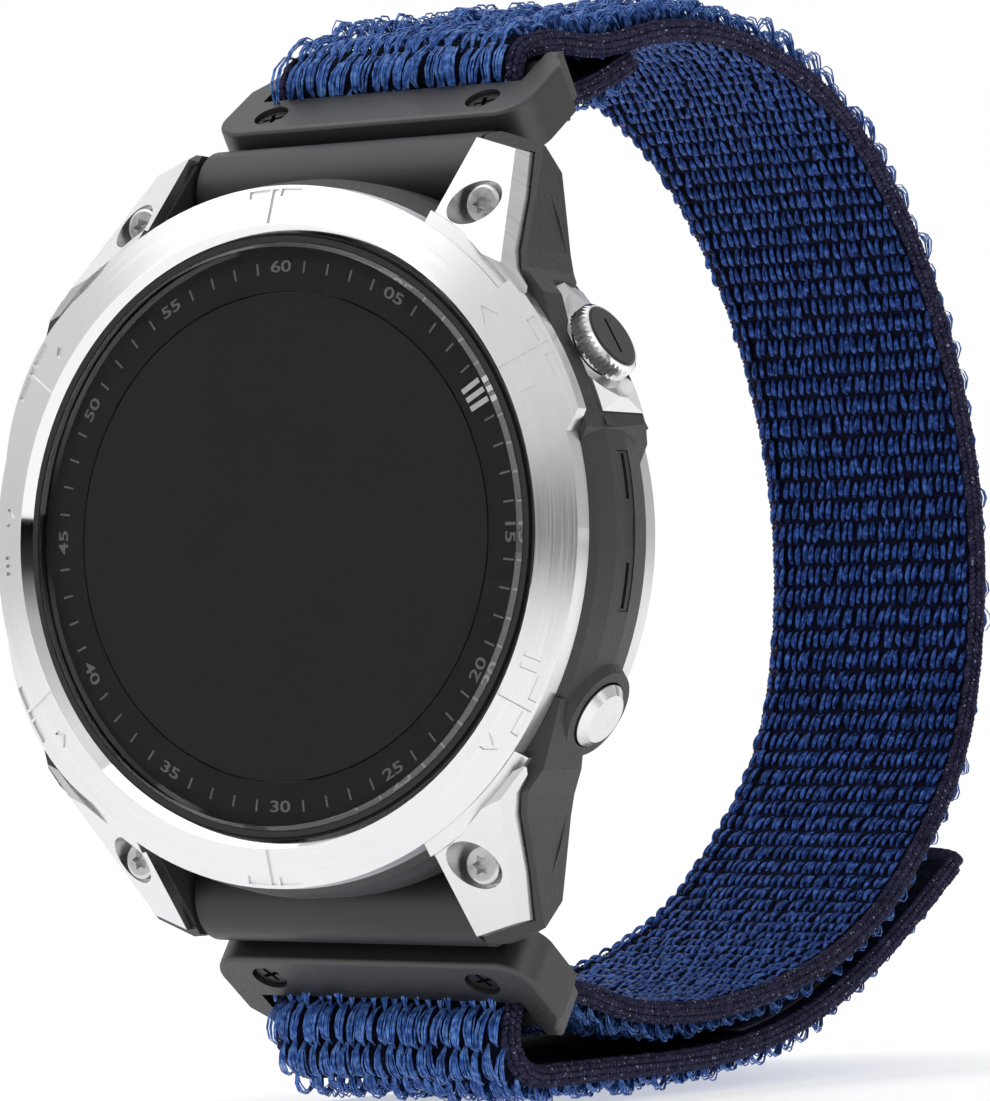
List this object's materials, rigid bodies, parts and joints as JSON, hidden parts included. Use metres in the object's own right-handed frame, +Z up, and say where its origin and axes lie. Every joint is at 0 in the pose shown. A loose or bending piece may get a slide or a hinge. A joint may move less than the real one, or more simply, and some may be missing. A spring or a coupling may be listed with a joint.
{
  "type": "smart watch",
  "caption": "Round sports watch with a steel bezel, side buttons and a woven hook-and-loop band on hinged lug adapters",
  "frame": {"origin": "middle of the bottom of the whole object's box, where the band's fold rests on a table", "axes": "+Z is up, towards 12 o'clock; -Y is where the dial looks; +X is 3 o'clock, the side with the start button"},
  "size_m": [0.0498, 0.0874, 0.077],
  "materials": {
    "bezel_steel": "brushed",
    "guard_steel": "satin",
    "screw_steel": "satin",
    "back_steel": "satin",
    "lens_glass": "polished",
    "black_rubber": "matte",
    "dial_black": "matte",
    "display_black": "smooth",
    "inner_aluminium": "bead blasted",
    "case_polymer": "fine grain",
    "vent_plastic": "matte",
    "window_glass": "polished",
    "board_green": "solder mask",
    "contact_plastic": "matte",
    "battery_foil": "satin foil",
    "sounder_brass": "satin",
    "knurl_chrome": "polished",
    "cap_dark": "satin",
    "button_steel": "turned",
    "spring_steel": "satin",
    "pin_steel": "satin",
    "adapter_grey": "brushed dark coating",
    "barrel_black": "matte",
    "screw_black": "satin",
    "latch_black": "matte",
    "band_nylon": "woven",
    "tail_nylon": "woven",
    "hook_nylon": "hooked",
    "tip_nylon": "woven"
  },
  "bodies": {
    "case": {"back_gasket": "black_rubber", "back_seal": "black_rubber", "back_spring": "spring_steel", "battery": "battery_foil", "bezel": "bezel_steel", "bezel_screws": "screw_steel", "bottom_lug_pin": "pin_steel", "button_guard": "guard_steel", "case_back": "back_steel", "case_back_screws": "screw_steel", "charge_contacts": "contact_plastic", "display_frame": "inner_aluminium", "display_panel": "display_black", "down_seal": "black_rubber", "down_spring": "spring_steel", "lens": "lens_glass", "lens_gasket": "black_rubber", "light_seal": "black_rubber", "light_spring": "spring_steel", "main_board": "board_green", "mid_case": "case_polymer", "minute_ring": "dial_black", "sensor_board": "board_green", "sensor_window": "window_glass", "side_vent": "vent_plastic", "sounder": "sounder_brass", "start_seal": "black_rubber", "start_spring": "spring_steel", "top_lug_pin": "pin_steel", "up_seal": "black_rubber", "up_spring": "spring_steel", "vibration_motor": "inner_aluminium"},
    "start": {"start_button": "knurl_chrome", "start_clip": "spring_steel", "start_cap": "cap_dark"},
    "back": {"back_button": "button_steel", "back_clip": "spring_steel"},
    "down": {"down_button": "button_steel", "down_clip": "spring_steel"},
    "up": {"up_button": "button_steel", "up_clip": "spring_steel"},
    "light": {"light_button": "button_steel", "light_clip": "spring_steel"},
    "top_adapter": {"top_adapter_frame": "adapter_grey", "top_adapter_clip": "barrel_black", "top_adapter_screws": "screw_black"},
    "top_catch": {"top_latch": "latch_black"},
    "bottom_adapter": {"bottom_adapter_frame": "adapter_grey", "bottom_adapter_clip": "barrel_black", "bottom_adapter_screws": "screw_black"},
    "bottom_catch": {"bottom_latch": "latch_black"},
    "strap": {"strap_band": "band_nylon"},
    "tail": {"strap_tail": "tail_nylon", "hook_patch": "hook_nylon", "tail_tip": "tip_nylon"}
  },
  "joints": [
    {"name": "start_press", "type": "slide", "parent": "case", "child": "start", "axis": [-0.8704, 0, -0.4924], "range_m": [0, 0.0004], "stiffness_N_per_m": 350},
    {"name": "back_press", "type": "slide", "parent": "case", "child": "back", "axis": [-0.8746, 0, 0.4848], "range_m": [0, 0.0004], "stiffness_N_per_m": 350},
    {"name": "down_press", "type": "slide", "parent": "case", "child": "down", "axis": [0.8746, 0, 0.4848], "range_m": [0, 0.0004], "stiffness_N_per_m": 350},
    {"name": "up_press", "type": "slide", "parent": "case", "child": "up", "axis": [1, 0, 0], "range_m": [0, 0.0004], "stiffness_N_per_m": 350},
    {"name": "light_press", "type": "slide", "parent": "case", "child": "light", "axis": [0.8746, 0, -0.4848], "range_m": [0, 0.0004], "stiffness_N_per_m": 350},
    {"name": "top_adapter_pivot", "type": "hinge", "parent": "case", "child": "top_adapter", "pos_m": [0.00052, -0.03317, 0.06212], "axis": [1, 0, 0], "range_deg": [-8, 8]},
    {"name": "bottom_adapter_pivot", "type": "hinge", "parent": "case", "child": "bottom_adapter", "pos_m": [0.00052, -0.03317, 0.01332], "axis": [1, 0, 0], "range_deg": [-8, 8]},
    {"name": "strap_swing", "type": "hinge", "parent": "top_adapter", "child": "strap", "pos_m": [0.00052, -0.02586, 0.07003], "axis": [1, 0, 0], "range_deg": [-6.1, 6.1]},
    {"name": "tail_peel", "type": "hinge", "parent": "strap", "child": "tail", "pos_m": [0.00052, -0.02037, 0.00082], "axis": [1, 0, 0], "range_deg": [-60, 0]},
    {"name": "top_latch_slide", "type": "slide", "parent": "top_adapter", "child": "top_catch", "axis": [0, 0.8192, 0.5736], "range_m": [0, 0.001], "stiffness_N_per_m": 300},
    {"name": "bottom_latch_slide", "type": "slide", "parent": "bottom_adapter", "child": "bottom_catch", "axis": [0, 0.8192, -0.5736], "range_m": [0, 0.001], "stiffness_N_per_m": 300}
  ],
  "couplings": [
    {"joint": "strap_swing", "follows": "top_adapter_pivot", "ratio": -0.755},
    {"joint": "bottom_adapter_pivot", "follows": "top_adapter_pivot", "ratio": 1}
  ]
}
